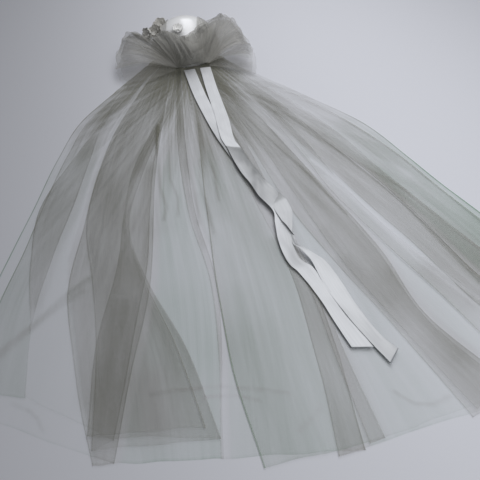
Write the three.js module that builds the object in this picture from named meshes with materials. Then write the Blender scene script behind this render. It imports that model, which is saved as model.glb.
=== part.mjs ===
// A bridal veil laid out flat, in millimetres. The table is z = 0, +Y points to the head end, and the
// origin lies on the table just below the place where the net is gathered.

import * as THREE from 'three';

// Cloth walls and clearances
const netWall = 1.0;
const foldGap = 0.5;
const seamGap = 0.3;
const gatherGap = 0.9;
const layerPitch = netWall + foldGap;
const foldedHeight = netWall + 2 * layerPitch;
const tierGap = 0.5;
const upperBase = foldedHeight + tierGap;

// Satin cap: half an ellipsoid that stands on its rim
const capCentre = new THREE.Vector3(5, 84, 0);
const capHalf = new THREE.Vector3(76, 60, 80);
const capWall = 2.5;
const capSegments = 36;
const capRings = 8;

// Satin strip at the back of the cap's rim, which the gathers are sewn to
const bandThickness = 2.5;
const bandHeight = 9;
const bandFrom = 197;
const bandTo = 343;
const bandSteps = 16;

// Net sheets: where along their length the fold tables give x, and where sections are taken
const tableRuns = [0, 0.15, 0.4, 0.7, 1];
const sectionRuns = [0, 0.06, 0.15, 0.27, 0.4, 0.55, 0.7, 0.85, 1];
const gatherClear = 2;
const laidClear = 3;
const gatherDrop = 4;
const laidDrop = 9;
const waveCount = 2;

// A row for each edge or fold, in the order in which the cloth passes them: an edge, then a fold at the
// right and the fold at the left that the cloth returns to, and so on to the other edge. The columns
// give x at the gather, shoulder, middle, lower part and hem, and the hem's y.
const lowerFolds = [
  { gather: -72, shoulder: -205, middle: -290, low: -360, hem: -425, hemY: -625 },
  { gather: -44, shoulder: -66, middle: -117, low: -158, hem: -228, hemY: -748 },
  { gather: -56, shoulder: -140, middle: -226, low: -270, hem: -250, hemY: -742 },
  { gather: -18, shoulder: -30, middle: -62, low: -66, hem: -104, hemY: -775 },
  { gather: -26, shoulder: -42, middle: -76, low: -78, hem: -116, hemY: -772 },
  { gather: 8, shoulder: 20, middle: 44, low: 62, hem: 41, hemY: -803 },
  { gather: -2, shoulder: 4, middle: 26, low: 44, hem: 16, hemY: -801 },
  { gather: 36, shoulder: 72, middle: 122, low: 184, hem: 250, hemY: -792 },
  { gather: 22, shoulder: 40, middle: 66, low: 107, hem: 175, hemY: -801 },
  { gather: 60, shoulder: 122, middle: 205, low: 285, hem: 350, hemY: -755 },
  { gather: 50, shoulder: 96, middle: 160, low: 240, hem: 305, hemY: -775 },
  { gather: 74, shoulder: 168, middle: 289, low: 354, hem: 424, hemY: -700 },
];
const upperLeftFolds = [
  { gather: -68, shoulder: -194, middle: -281, low: -342, hem: -400, hemY: -618 },
  { gather: -52, shoulder: -146, middle: -222, low: -293, hem: -322, hemY: -650 },
  { gather: -60, shoulder: -168, middle: -264, low: -319, hem: -336, hemY: -645 },
  { gather: -28, shoulder: -88, middle: -168, low: -192, hem: -218, hemY: -722 },
  { gather: -40, shoulder: -120, middle: -200, low: -236, hem: -246, hemY: -728 },
  { gather: -16, shoulder: -58, middle: -138, low: -158, hem: -110, hemY: -752 },
];
const upperRightFolds = [
  { gather: -8, shoulder: -14, middle: -50, low: -72, hem: -72, hemY: -792 },
  { gather: 8, shoulder: 32, middle: 56, low: 66, hem: 67, hemY: -796 },
  { gather: 2, shoulder: 22, middle: 42, low: 54, hem: 48, hemY: -797 },
  { gather: 26, shoulder: 64, middle: 124, low: 174, hem: 232, hemY: -785 },
  { gather: 18, shoulder: 48, middle: 84, low: 118, hem: 182, hemY: -793 },
  { gather: 42, shoulder: 94, middle: 166, low: 210, hem: 285, hemY: -765 },
  { gather: 36, shoulder: 80, middle: 142, low: 190, hem: 256, hemY: -775 },
  { gather: 60, shoulder: 136, middle: 245, low: 300, hem: 362, hemY: -725 },
  { gather: 52, shoulder: 110, middle: 190, low: 236, hem: 312, hemY: -745 },
  { gather: 70, shoulder: 156, middle: 276, low: 338, hem: 404, hemY: -695 },
];
const upperWave = 2.4;

// Pouf: each lobe is a ruffle from an oval root at the knot to the outer edge, a row for each place on it
const knot = new THREE.Vector2(2, 6);
const lobeRuns = [0, 0.12, 0.3, 0.5, 0.7, 0.86, 1];
const pointsPerWave = 6;
const rootWave = 0.4;
const waveUnevenness = 0.22;
const waveDrift = 17;
const leftLobe = {
  rootHalf: [34, 12], rootZ: 12, bulge: 11, waves: 12, edgeWave: 4.2,
  edge: [
    { x: -156, y: 8, z: 27 },
    { x: -149, y: 40, z: 38 },
    { x: -131, y: 70, z: 50 },
    { x: -108, y: 86, z: 58 },
    { x: -74, y: 62, z: 66 },
    { x: -44, y: 44, z: 71 },
    { x: -27, y: 34, z: 74 },
    { x: -12, y: 20, z: 68 },
    { x: 0, y: 23, z: 62 },
  ],
};
const rightLobe = {
  rootHalf: [40, 12], rootZ: 13.7, bulge: 11, waves: 12, edgeWave: 4.2,
  edge: [
    { x: 7, y: 21, z: 60 },
    { x: 32, y: 26, z: 62 },
    { x: 60, y: 44, z: 69 },
    { x: 78, y: 72, z: 76 },
    { x: 105, y: 68, z: 76 },
    { x: 120, y: 41, z: 66 },
    { x: 129, y: 13, z: 52 },
    { x: 132, y: -13, z: 40 },
    { x: 126, y: -36, z: 29 },
  ],
};
const leftUnderLobe = {
  rootHalf: [34, 12], rootZ: 9.9, bulge: 2, waves: 6, edgeWave: 2.2,
  edge: [
    { x: -146, y: -34, z: 13 },
    { x: -163, y: -2, z: 13 },
    { x: -157, y: 34, z: 20 },
    { x: -132, y: 58, z: 30 },
  ],
};
const rightUnderLobe = {
  rootHalf: [40, 12], rootZ: 11.6, bulge: 2, waves: 6, edgeWave: 2.2,
  edge: [
    { x: 130, y: 40, z: 32 },
    { x: 141, y: 6, z: 22 },
    { x: 137, y: -30, z: 13 },
    { x: 120, y: -62, z: 13 },
  ],
};

// Cloth flowers on the cap: azimuth and elevation on the ellipsoid in degrees, and the petals' reach
const flowerPlaces = [
  { azimuth: 172, elevation: 36, reach: 13 },
  { azimuth: 135, elevation: 46, reach: 13 },
  { azimuth: 150, elevation: 20, reach: 12 },
  { azimuth: 240, elevation: 61, reach: 11 },
];
const flowerSeat = 0.4;
const flowerWall = 1.2;
const petals = 5;
const petalSteps = 6;
const flowerRings = [0.12, 0.45, 0.75, 1];
const petalCup = 0.38;
const petalNotch = 0.34;

// Satin ribbons: a row for each place on the middle line, its lift over the net and its roll in degrees
const ribbonWidth = 25;
const ribbonWall = 1.0;
const ribbonBase = upperBase + foldedHeight + tierGap + ribbonWall / 2;
const ribbonSections = 34;
const rightRibbon = {
  slant: 6,
  route: [
    { x: 32, y: 6, lift: 0, roll: 0 },
    { x: 30, y: -80, lift: 0, roll: 0 },
    { x: 26, y: -165, lift: 1.8, roll: 0 },
    { x: 20, y: -252, lift: 2.6, roll: 2 },
    { x: 28, y: -298, lift: 3, roll: 20 },
    { x: 38, y: -340, lift: 3, roll: 24 },
    { x: 49, y: -384, lift: 3, roll: 8 },
    { x: 57, y: -424, lift: 2.6, roll: 6 },
    { x: 51, y: -470, lift: 1.5, roll: 64 },
    { x: 48, y: -516, lift: 0.5, roll: 38 },
    { x: 57, y: -562, lift: 0, roll: 0 },
    { x: 69, y: -605, lift: 0, roll: 0 },
    { x: 78, y: -648, lift: 0, roll: 0 },
    { x: 86, y: -690, lift: 0, roll: 0 },
  ],
};
const leftRibbon = {
  slant: -5,
  route: [
    { x: -4, y: 6, lift: 0, roll: 0 },
    { x: -4, y: -80, lift: 0, roll: 0 },
    { x: -1, y: -160, lift: 0, roll: 0 },
    { x: 6, y: -230, lift: 0, roll: 0 },
    { x: 21, y: -290, lift: 0, roll: 0 },
    { x: 44, y: -345, lift: 0, roll: 0 },
    { x: 69, y: -395, lift: 0, roll: 0 },
    { x: 87, y: -440, lift: 0.6, roll: 48 },
    { x: 81, y: -490, lift: 1, roll: 72 },
    { x: 80, y: -535, lift: 2, roll: 54 },
    { x: 89, y: -580, lift: 2.6, roll: 10 },
    { x: 98, y: -625, lift: 2.6, roll: 0 },
    { x: 107, y: -665, lift: 2.2, roll: 0 },
    { x: 120, y: -712, lift: 0.6, roll: 0 },
  ],
};

// Materials
function clothMaterial(color, roughness) {
  return new THREE.MeshStandardMaterial({ color, roughness, metalness: 0, side: THREE.DoubleSide });
}
const netColour = '#c9c9c6';
const poufColour = '#bcbbb6';
const satinColour = '#f0f0ee';
const petalColour = '#d3d2cc';

const veil = new THREE.Group();
function addPiece(name, geometry, material) {
  const piece = new THREE.Mesh(geometry, material);
  piece.name = name;
  veil.add(piece);
}

// Smooth value at run between the columns of a table
function smoothThrough(runs, values, run) {
  let k = 0;
  while (k < runs.length - 2 && run > runs[k + 1]) k += 1;
  const slope = (i) => {
    const before = Math.max(i - 1, 0);
    const after = Math.min(i + 1, runs.length - 1);
    return (values[after] - values[before]) / (runs[after] - runs[before]);
  };
  const span = runs[k + 1] - runs[k];
  const t = (run - runs[k]) / span;
  const t2 = t * t;
  const t3 = t2 * t;
  return values[k] * (2 * t3 - 3 * t2 + 1) + values[k + 1] * (3 * t2 - 2 * t3)
    + span * (slope(k) * (t3 - 2 * t2 + t) + slope(k + 1) * (t3 - t2));
}

// Closed wall between two matching grids of points, rows along the cloth and columns across it
function wallSolid(faceRows, backRows) {
  const rows = faceRows.length;
  const columns = faceRows[0].length;
  const positions = [];
  for (const grid of [faceRows, backRows]) {
    for (const row of grid) {
      for (const point of row) positions.push(point.x, point.y, point.z);
    }
  }
  const face = (j, i) => j * columns + i;
  const back = (j, i) => rows * columns + j * columns + i;
  const index = [];
  const quad = (a, b, c, d) => index.push(a, b, c, a, c, d);
  for (let j = 0; j < rows - 1; j += 1) {
    for (let i = 0; i < columns - 1; i += 1) {
      quad(face(j, i), face(j, i + 1), face(j + 1, i + 1), face(j + 1, i));
      index.push(back(j, i), back(j + 1, i + 1), back(j, i + 1));
      index.push(back(j, i), back(j + 1, i), back(j + 1, i + 1));
    }
    quad(face(j, 0), face(j + 1, 0), back(j + 1, 0), back(j, 0));
    quad(face(j, columns - 1), back(j, columns - 1), back(j + 1, columns - 1), face(j + 1, columns - 1));
  }
  for (let i = 0; i < columns - 1; i += 1) {
    quad(face(0, i), back(0, i), back(0, i + 1), face(0, i + 1));
    quad(face(rows - 1, i), face(rows - 1, i + 1), back(rows - 1, i + 1), back(rows - 1, i));
  }
  const geometry = new THREE.BufferGeometry();
  geometry.setAttribute('position', new THREE.Float32BufferAttribute(positions, 3));
  geometry.setIndex(facingOut(positions, index));
  return geometry;
}

// Turns all faces round where the enclosed volume comes out negative
function facingOut(positions, index) {
  const corner = (k) => new THREE.Vector3().fromArray(positions, 3 * index[k]);
  let volume = 0;
  for (let k = 0; k < index.length; k += 3) {
    volume += corner(k).dot(corner(k + 1).cross(corner(k + 2)));
  }
  if (volume > 0) return index;
  const turned = [];
  for (let k = 0; k < index.length; k += 3) turned.push(index[k], index[k + 2], index[k + 1]);
  return turned;
}

// The curve of the cap's rim, moved out, gives the y where the gathers end
function gatherY(x) {
  const away = seamGap + bandThickness + gatherGap;
  const across = (x - capCentre.x) / (capHalf.x + away);
  return capCentre.y - (capHalf.y + away) * Math.sqrt(1 - across * across);
}

// One section of a folded sheet: points on its middle surface, with the way to its face
function foldedSection(folds, base, wave, run) {
  const lines = folds.map((row) => {
    const values = [row.gather, row.shoulder, row.middle, row.low, row.hem];
    return { x: smoothThrough(tableRuns, values, run), gather: row.gather, hemY: row.hemY };
  });
  const yOf = (gather, hemY) => gatherY(gather) + (hemY - gatherY(gather)) * run;
  const laid = Math.min(run / tableRuns[1], 1);
  const clear = gatherClear + (laidClear - gatherClear) * laid;
  const drop = gatherDrop + (laidDrop - gatherDrop) * laid;
  const lift = wave * laid * (1 - run);
  const level = (k) => base + netWall / 2 + k * layerPitch;
  const up = { x: 0, z: 1 };
  const down = { x: 0, z: -1 };
  const section = [];
  const place = (x, y, z, normal) => section.push({ x, y, z, normal });

  for (let k = 0; k < lines.length - 1; k += 1) {
    const from = lines[k];
    const to = lines[k + 1];
    const yAt = (x) => {
      const share = (x - from.x) / (to.x - from.x);
      return yOf(from.gather + (to.gather - from.gather) * share, from.hemY + (to.hemY - from.hemY) * share);
    };
    if (k % 2 === 1) {
      // Under the fold: back towards the left on the middle level, with a turn at each end
      place(from.x + layerPitch / 2, yAt(from.x), level(0.5), { x: -1, z: 0 });
      place(from.x, yAt(from.x), level(1), down);
      place(to.x, yAt(to.x), level(1), down);
      place(to.x - layerPitch / 2, yAt(to.x), level(1.5), { x: 1, z: 0 });
      continue;
    }
    // Towards the right: over the fold on the top level, down past it, and flat to the next fold
    let start = from.x;
    if (k === 0) {
      place(from.x, yAt(from.x), level(0), up);
    } else {
      const past = lines[k - 1].x + clear;
      place(from.x, yAt(from.x), level(2), up);
      place((from.x + past) / 2, yAt((from.x + past) / 2), level(2), up);
      place(past, yAt(past), level(2), up);
      start = past + drop;
      place(start, yAt(start), level(0), up);
    }
    const covered = k + 2 < lines.length ? lines[k + 2].x - layerPitch : to.x;
    const steps = 2 * waveCount;
    for (let s = 1; s < steps; s += 1) {
      const x = start + (covered - start) * s / steps;
      place(x, yAt(x), level(0) + lift * (s % 2), up);
    }
    if (covered < to.x) place(covered, yAt(covered), level(0), up);
    place(to.x, yAt(to.x), level(0), up);
  }
  return section;
}

function foldedSheet(folds, base, wave) {
  const sections = sectionRuns.map((run) => foldedSection(folds, base, wave, run));
  const moved = (side) => sections.map((section) => section.map((p) => (
    new THREE.Vector3(p.x + side * p.normal.x * netWall / 2, p.y, p.z + side * p.normal.z * netWall / 2))));
  return wallSolid(moved(1), moved(-1));
}

addPiece('veil_lower', foldedSheet(lowerFolds, 0, 0), clothMaterial(netColour, 0.9));
addPiece('veil_upper_left', foldedSheet(upperLeftFolds, upperBase, upperWave), clothMaterial(netColour, 0.9));
addPiece('veil_upper_right', foldedSheet(upperRightFolds, upperBase, upperWave), clothMaterial(netColour, 0.9));

// Lobe of the pouf: runs from the root to the edge, with pleats that deepen towards the edge
function lobeMiddle(lobe, across, run) {
  const at = across * (lobe.edge.length - 1);
  const rows = lobe.edge.map((_, k) => k);
  const edge = new THREE.Vector3(
    smoothThrough(rows, lobe.edge.map((row) => row.x), at),
    smoothThrough(rows, lobe.edge.map((row) => row.y), at),
    smoothThrough(rows, lobe.edge.map((row) => row.z), at));
  const angle = Math.atan2(edge.y - knot.y, edge.x - knot.x);
  const [halfX, halfY] = lobe.rootHalf;
  const root = new THREE.Vector3(
    knot.x + halfX * Math.cos(angle), knot.y + halfY * Math.sin(angle), lobe.rootZ);
  const point = root.lerp(edge, run);
  point.z += lobe.bulge * Math.sin(Math.PI * run);
  return point;
}

function lobeNormal(surface, across, run) {
  const step = 0.004;
  const low = Math.max(across - step, 0);
  const high = Math.min(across + step, 1);
  const inner = Math.max(run - step, 0);
  const outer = Math.min(run + step, 1);
  const alongEdge = surface(high, run).sub(surface(low, run));
  const alongRun = surface(across, outer).sub(surface(across, inner));
  return alongRun.cross(alongEdge).normalize();
}

function poufLobe(lobe) {
  const smooth = (across, run) => lobeMiddle(lobe, across, run);
  const pleated = (across, run) => {
    const depth = rootWave + (lobe.edgeWave - rootWave) * run;
    const uneven = 1 - waveUnevenness * (1 + Math.cos(waveDrift * across));
    const wave = depth * uneven * Math.cos(2 * Math.PI * lobe.waves * across);
    return smooth(across, run).addScaledVector(lobeNormal(smooth, across, run), wave);
  };
  const columns = lobe.waves * pointsPerWave;
  const moved = (side) => lobeRuns.map((run) => {
    const row = [];
    for (let i = 0; i <= columns; i += 1) {
      const across = i / columns;
      row.push(pleated(across, run).addScaledVector(lobeNormal(pleated, across, run), side * netWall / 2));
    }
    return row;
  });
  return wallSolid(moved(1), moved(-1));
}

addPiece('pouf_left', poufLobe(leftLobe), clothMaterial(poufColour, 0.9));
addPiece('pouf_right', poufLobe(rightLobe), clothMaterial(poufColour, 0.9));
addPiece('pouf_under_left', poufLobe(leftUnderLobe), clothMaterial(poufColour, 0.9));
addPiece('pouf_under_right', poufLobe(rightUnderLobe), clothMaterial(poufColour, 0.9));

// Cap: a half shell turned about its axis and narrowed front to back, open below
function capShell() {
  const profile = [];
  const arc = (radius, height, from, to) => {
    for (let k = 0; k <= capRings; k += 1) {
      const angle = from + (to - from) * k / capRings;
      profile.push(new THREE.Vector2(radius * Math.sin(angle), height * Math.cos(angle)));
    }
  };
  arc(capHalf.x, capHalf.z, 0, Math.PI / 2);
  arc(capHalf.x - capWall, capHalf.z - capWall, Math.PI / 2, 0);
  profile[0].x = 0;
  profile[profile.length - 1].x = 0;
  const geometry = new THREE.LatheGeometry(profile.reverse(), capSegments);
  geometry.rotateX(Math.PI / 2);
  geometry.scale(1, capHalf.y / capHalf.x, 1);
  geometry.translate(capCentre.x, capCentre.y, 0);
  return geometry;
}
addPiece('cap', capShell(), clothMaterial(satinColour, 0.35));

// Heading band: a strip bent along the back of the rim
function headingBand() {
  const arcPoint = (angle, away, z) => new THREE.Vector3(
    capCentre.x + (capHalf.x + away) * Math.cos(angle), capCentre.y + (capHalf.y + away) * Math.sin(angle), z);
  const side = (away) => [0, bandHeight].map((z) => {
    const row = [];
    for (let k = 0; k <= bandSteps; k += 1) {
      const angle = THREE.MathUtils.degToRad(bandFrom + (bandTo - bandFrom) * k / bandSteps);
      row.push(arcPoint(angle, away, z));
    }
    return row;
  });
  return wallSolid(side(seamGap + bandThickness), side(seamGap));
}
addPiece('heading_band', headingBand(), clothMaterial(satinColour, 0.5));

// Flower: a cupped disc with rounded petals, its middle seated on the cap
function flower(place) {
  const columns = petals * petalSteps;
  const turn = (i) => 2 * Math.PI * (i % columns) / columns;
  const ring = (share, z) => {
    const row = [];
    for (let i = 0; i <= columns; i += 1) {
      const petal = 1 - petalNotch * share * (1 - Math.abs(Math.cos(petals * turn(i) / 2)));
      const radius = place.reach * share * petal;
      const height = petalCup * place.reach * share * share + z;
      row.push(new THREE.Vector3(radius * Math.cos(turn(i)), radius * Math.sin(turn(i)), height));
    }
    return row;
  };
  const face = flowerRings.map((share) => ring(share, flowerSeat + flowerWall));
  const back = flowerRings.map((share) => ring(share, flowerSeat));
  const geometry = ringSolid(face, back, columns);
  const azimuth = THREE.MathUtils.degToRad(place.azimuth);
  const elevation = THREE.MathUtils.degToRad(place.elevation);
  const unit = new THREE.Vector3(
    Math.cos(elevation) * Math.cos(azimuth), Math.cos(elevation) * Math.sin(azimuth), Math.sin(elevation));
  const seat = unit.clone().multiply(capHalf).add(capCentre);
  const outward = unit.divide(capHalf).normalize();
  const facing = new THREE.Quaternion().setFromUnitVectors(new THREE.Vector3(0, 0, 1), outward);
  geometry.applyQuaternion(facing);
  geometry.translate(seat.x, seat.y, seat.z);
  return geometry;
}

// Closed disc between two stacks of rings, each filled at its middle
function ringSolid(faceRows, backRows, columns) {
  const rings = faceRows.length;
  const positions = [];
  const middles = [];
  for (const grid of [faceRows, backRows]) {
    for (const row of grid) {
      for (let i = 0; i < columns; i += 1) positions.push(row[i].x, row[i].y, row[i].z);
    }
  }
  for (const grid of [faceRows, backRows]) {
    middles.push(positions.length / 3);
    positions.push(0, 0, grid[0][0].z);
  }
  const at = (side, j, i) => (side * rings + j) * columns + (i % columns);
  const index = [];
  for (let i = 0; i < columns; i += 1) {
    index.push(middles[0], at(0, 0, i), at(0, 0, i + 1));
    index.push(middles[1], at(1, 0, i + 1), at(1, 0, i));
    for (let j = 0; j < rings - 1; j += 1) {
      index.push(at(0, j, i), at(0, j + 1, i), at(0, j + 1, i + 1));
      index.push(at(0, j, i), at(0, j + 1, i + 1), at(0, j, i + 1));
      index.push(at(1, j, i), at(1, j + 1, i + 1), at(1, j + 1, i));
      index.push(at(1, j, i), at(1, j, i + 1), at(1, j + 1, i + 1));
    }
    index.push(at(0, rings - 1, i), at(1, rings - 1, i), at(1, rings - 1, i + 1));
    index.push(at(0, rings - 1, i), at(1, rings - 1, i + 1), at(0, rings - 1, i + 1));
  }
  const geometry = new THREE.BufferGeometry();
  geometry.setAttribute('position', new THREE.Float32BufferAttribute(positions, 3));
  geometry.setIndex(facingOut(positions, index));
  return geometry;
}
flowerPlaces.forEach((place, k) => {
  addPiece(`flower_${k + 1}`, flower(place), clothMaterial(petalColour, 0.7));
});

// Ribbon: a flat strip that follows its route, rolled about it, with a slanted end
function ribbon(shape) {
  const curve = new THREE.CatmullRomCurve3(
    shape.route.map((row) => new THREE.Vector3(row.x, row.y, ribbonBase + row.lift)), false, 'centripetal');
  const rows = shape.route.map((_, k) => k);
  const rolls = shape.route.map((row) => THREE.MathUtils.degToRad(row.roll));
  const rollAt = (t) => smoothThrough(rows, rolls, t * (rows.length - 1));
  const middleAt = (t) => {
    const point = curve.getPoint(t);
    point.z += Math.abs(Math.sin(rollAt(t))) * ribbonWidth / 2;
    return point;
  };
  const step = 0.002;
  const face = [];
  const back = [];
  for (let k = 0; k <= ribbonSections; k += 1) {
    const t = k / ribbonSections;
    const middle = middleAt(t);
    const along = middleAt(Math.min(t + step, 1)).sub(middleAt(Math.max(t - step, 0))).normalize();
    const level = new THREE.Vector3(-along.y, along.x, 0).normalize();
    const across = level.applyAxisAngle(along, rollAt(t));
    const normal = along.clone().cross(across).normalize();
    const slant = k === ribbonSections ? shape.slant : 0;
    const edge = (side) => middle.clone().addScaledVector(across, side * ribbonWidth / 2)
      .addScaledVector(along, side * slant);
    face.push([1, 0, -1].map((side) => edge(side).addScaledVector(normal, ribbonWall / 2)));
    back.push([1, 0, -1].map((side) => edge(side).addScaledVector(normal, -ribbonWall / 2)));
  }
  return wallSolid(face, back);
}
addPiece('ribbon_left', ribbon(leftRibbon), clothMaterial(satinColour, 0.35));
addPiece('ribbon_right', ribbon(rightRibbon), clothMaterial(satinColour, 0.35));

export default veil;
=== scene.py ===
import math

import bmesh
import bpy
import numpy as np
from mathutils import Euler, Matrix, Vector, noise


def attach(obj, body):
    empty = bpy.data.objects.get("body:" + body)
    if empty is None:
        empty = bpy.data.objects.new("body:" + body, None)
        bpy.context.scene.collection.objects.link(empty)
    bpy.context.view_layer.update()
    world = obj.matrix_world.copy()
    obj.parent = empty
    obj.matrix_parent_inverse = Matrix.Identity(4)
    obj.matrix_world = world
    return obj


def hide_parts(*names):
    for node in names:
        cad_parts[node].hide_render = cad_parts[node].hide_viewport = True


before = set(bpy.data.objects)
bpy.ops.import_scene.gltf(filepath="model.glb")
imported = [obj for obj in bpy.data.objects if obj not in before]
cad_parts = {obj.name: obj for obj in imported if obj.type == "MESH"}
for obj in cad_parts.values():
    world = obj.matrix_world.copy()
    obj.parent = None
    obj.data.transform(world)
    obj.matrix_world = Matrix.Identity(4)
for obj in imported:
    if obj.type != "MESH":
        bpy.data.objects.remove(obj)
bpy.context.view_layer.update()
millimetre = 0.001


# Small helpers

def linear(hexColour):
    channels = [int(hexColour[k:k + 2], 16) / 255 for k in (1, 3, 5)]
    return tuple(c / 12.92 if c <= 0.04045 else ((c + 0.055) / 1.055) ** 2.4 for c in channels) + (1.0,)


def addNode(tree, kind, settings=None, inputs=None):
    node = tree.nodes.new(kind)
    for key, value in (settings or {}).items():
        setattr(node, key, value)
    for key, value in (inputs or {}).items():
        if isinstance(value, bpy.types.NodeSocket):
            tree.links.new(value, node.inputs[key])
        else:
            node.inputs[key].default_value = value
    return node


def startMaterial(name):
    material = bpy.data.materials.new(name)
    material.use_nodes = True
    return material, material.node_tree, material.node_tree.nodes["Principled BSDF"]


def meshFrom(bm, name):
    mesh = bpy.data.meshes.new(name)
    bm.to_mesh(mesh)
    bm.free()
    return mesh


def meshPoints(mesh):
    points = np.empty(len(mesh.vertices) * 3)
    mesh.vertices.foreach_get("co", points)
    return points.reshape(-1, 3)


# A grid for one stretch of cloth, with each point's column and row
def gridMesh(name, columns, rows):
    bm = bmesh.new()
    bmesh.ops.create_grid(bm, x_segments=columns - 1, y_segments=rows - 1, size=0.5)
    mesh = meshFrom(bm, name)
    places = meshPoints(mesh) + 0.5
    across = np.rint(places[:, 0] * (columns - 1)).astype(int)
    along = np.rint(places[:, 1] * (rows - 1)).astype(int)
    return mesh, across, along


def finishMesh(mesh, points, material, values):
    mesh.vertices.foreach_set("co", (points * millimetre).astype(np.float32).ravel())
    for key, value in values.items():
        kind = "FLOAT_VECTOR" if value.ndim == 2 else "FLOAT"
        layer = mesh.attributes.new(key, kind, "POINT")
        layer.data.foreach_set("vector" if value.ndim == 2 else "value", value.astype(np.float32).ravel())
    mesh.polygons.foreach_set("use_smooth", [True] * len(mesh.polygons))
    mesh.materials.append(material)
    mesh.update()
    piece = bpy.data.objects.new(mesh.name, mesh)
    bpy.context.scene.collection.objects.link(piece)
    return piece


# Keeps what lies on the side that the plane faces
def cutAway(bm, place, facing):
    whole = bm.verts[:] + bm.edges[:] + bm.faces[:]
    bmesh.ops.bisect_plane(bm, geom=whole, dist=1e-6, plane_co=place, plane_no=facing, clear_inner=True)


def addWall(piece, thickness, offset):
    wall = piece.modifiers.new("wall", "SOLIDIFY")
    wall.thickness = thickness * millimetre
    wall.offset = offset


def meshArea(piece):
    return round(sum(face.area for face in piece.data.polygons), 4)


def smoothStep(value):
    t = np.clip(value, 0, 1)
    return t * t * (3 - 2 * t)


# A smooth curve through a table's values; a steady one never swings past them
def alongTable(places, values, at, steady=False):
    places = np.asarray(places, float)
    values = np.asarray(values, float)
    slopes = np.gradient(values, places)
    if steady:
        rise = np.diff(values) / np.diff(places)
        product = rise[:-1] * rise[1:]
        total = np.where(product > 0, rise[:-1] + rise[1:], 1)
        slopes[1:-1] = np.where(product > 0, 2 * product / total, 0)
    k = np.clip(np.searchsorted(places, at, side="right") - 1, 0, len(places) - 2)
    span = places[k + 1] - places[k]
    t = (at - places[k]) / span
    t2, t3 = t * t, t * t * t
    return (values[k] * (2 * t3 - 3 * t2 + 1) + values[k + 1] * (3 * t2 - 2 * t3)
            + span * (slopes[k] * (t3 - 2 * t2 + t) + slopes[k + 1] * (t3 - t2)))


def ripple(x, y, seed):
    values = [noise.noise(Vector((a, b, seed))) for a, b in zip(np.ravel(x), np.ravel(y))]
    return np.array(values).reshape(np.shape(x))


# Camera at the photograph's place

cameraPlace = {"at": (-0.1310, -0.9146, 0.5463), "pitch": 50.355, "heading": 14.64,
               "lens": 35.25, "sensor": 36}
cameraData = bpy.data.cameras.new("camera")
cameraData.lens = cameraPlace["lens"]
cameraData.sensor_width = cameraPlace["sensor"]
cameraData.clip_end = 50
camera = bpy.data.objects.new("camera", cameraData)
camera.location = cameraPlace["at"]
cameraTilt = math.radians(90 - cameraPlace["pitch"])
cameraTurn = -math.radians(cameraPlace["heading"])
camera.rotation_euler = Euler((cameraTilt, 0, cameraTurn))
bpy.context.scene.collection.objects.link(camera)
bpy.context.scene.camera = camera
print("camera placed")


# Materials

# Nylon tulle, a knitted net of fine yarn: nearly clear in one layer, grey where layers lie on each other
tulleLook = {
    "pale": "#7ea588", "dense": "#929183", "cover": 0.05, "leastCover": 0.12, "roughness": 0.85,
    "gloss": 0.15, "gatherWidth": 13, "gatherLength": 420, "yarnStreak": 4.5, "yarnLength": 190,
    "yarnShare": 0.6, "yarnCover": 1.2, "holeCover": 0.92,
    "netCell": 2.6,      # real net has cells near 1.2 mm, drawn coarser to show
}


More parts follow.
